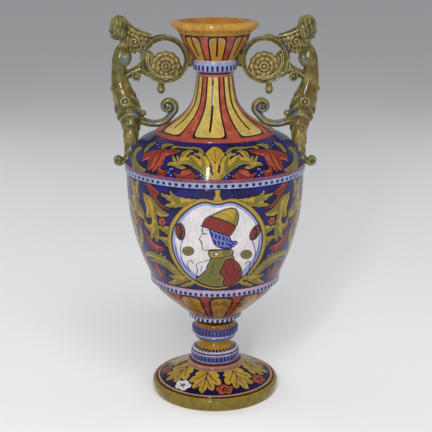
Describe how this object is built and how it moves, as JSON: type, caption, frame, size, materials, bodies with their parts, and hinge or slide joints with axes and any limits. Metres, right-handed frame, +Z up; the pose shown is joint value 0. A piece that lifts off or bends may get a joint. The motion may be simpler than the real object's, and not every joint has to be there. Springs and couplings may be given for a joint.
{
  "type": "ceramic amphora",
  "caption": "Footed ceramic amphora with a flared mouth, slender neck, broad shoulder and figure-and-scroll handles, painted with leaf scrolls and a medallion.",
  "frame": {"origin": "centre of the foot on the surface it stands on, on the axis of the vessel", "axes": "+Z up the axis of the vessel, handles towards -X and +X, painted front towards -Y"},
  "size_m": [0.3396, 0.2956, 0.6393],
  "materials": {
    "painted_glaze": "glossy fired glaze: deep blue, ochre, brick red and white painting on the vessel, mottled olive on the handles"
  },
  "bodies": {
    "root": {"amphora_top": "painted_glaze", "amphora_belly": "painted_glaze", "amphora_foot": "painted_glaze"}
  },
  "joints": []
}
